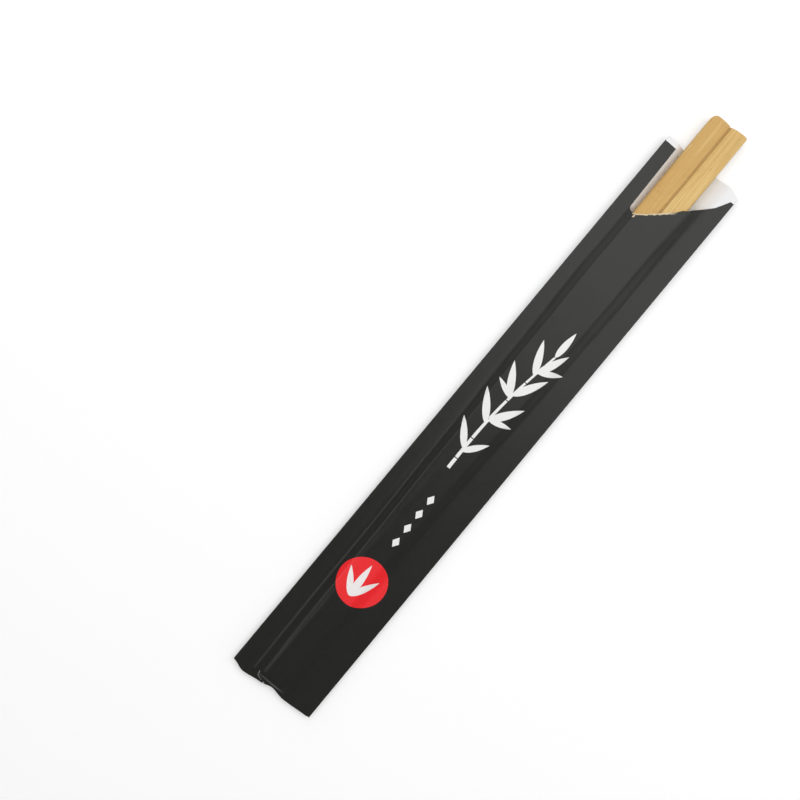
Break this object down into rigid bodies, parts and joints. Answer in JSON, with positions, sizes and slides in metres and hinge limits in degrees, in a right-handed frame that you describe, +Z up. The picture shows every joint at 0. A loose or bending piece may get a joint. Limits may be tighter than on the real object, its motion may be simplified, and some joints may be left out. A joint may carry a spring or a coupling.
{
  "type": "bamboo chopsticks",
  "caption": "Joined pair of bamboo chopsticks in a folded black paper sleeve with a white inside, a slot and slanting tongue at its mouth and a glued lower end.",
  "frame": {"origin": "under the middle of the sticks' length, on the surface that the packet lies on", "axes": "+Y along the packet from its closed end to its mouth, +X across it, +Z up from the surface it lies on"},
  "size_m": [0.0283, 0.2134, 0.0053],
  "materials": {
    "sleeve_paper": "smooth black printed paper with a soft sheen, white on the inside",
    "bamboo": "planed bare bamboo with fine long grain"
  },
  "bodies": {
    "root": {"paper_sleeve": "sleeve_paper", "twin_chopsticks": "bamboo"}
  },
  "joints": []
}
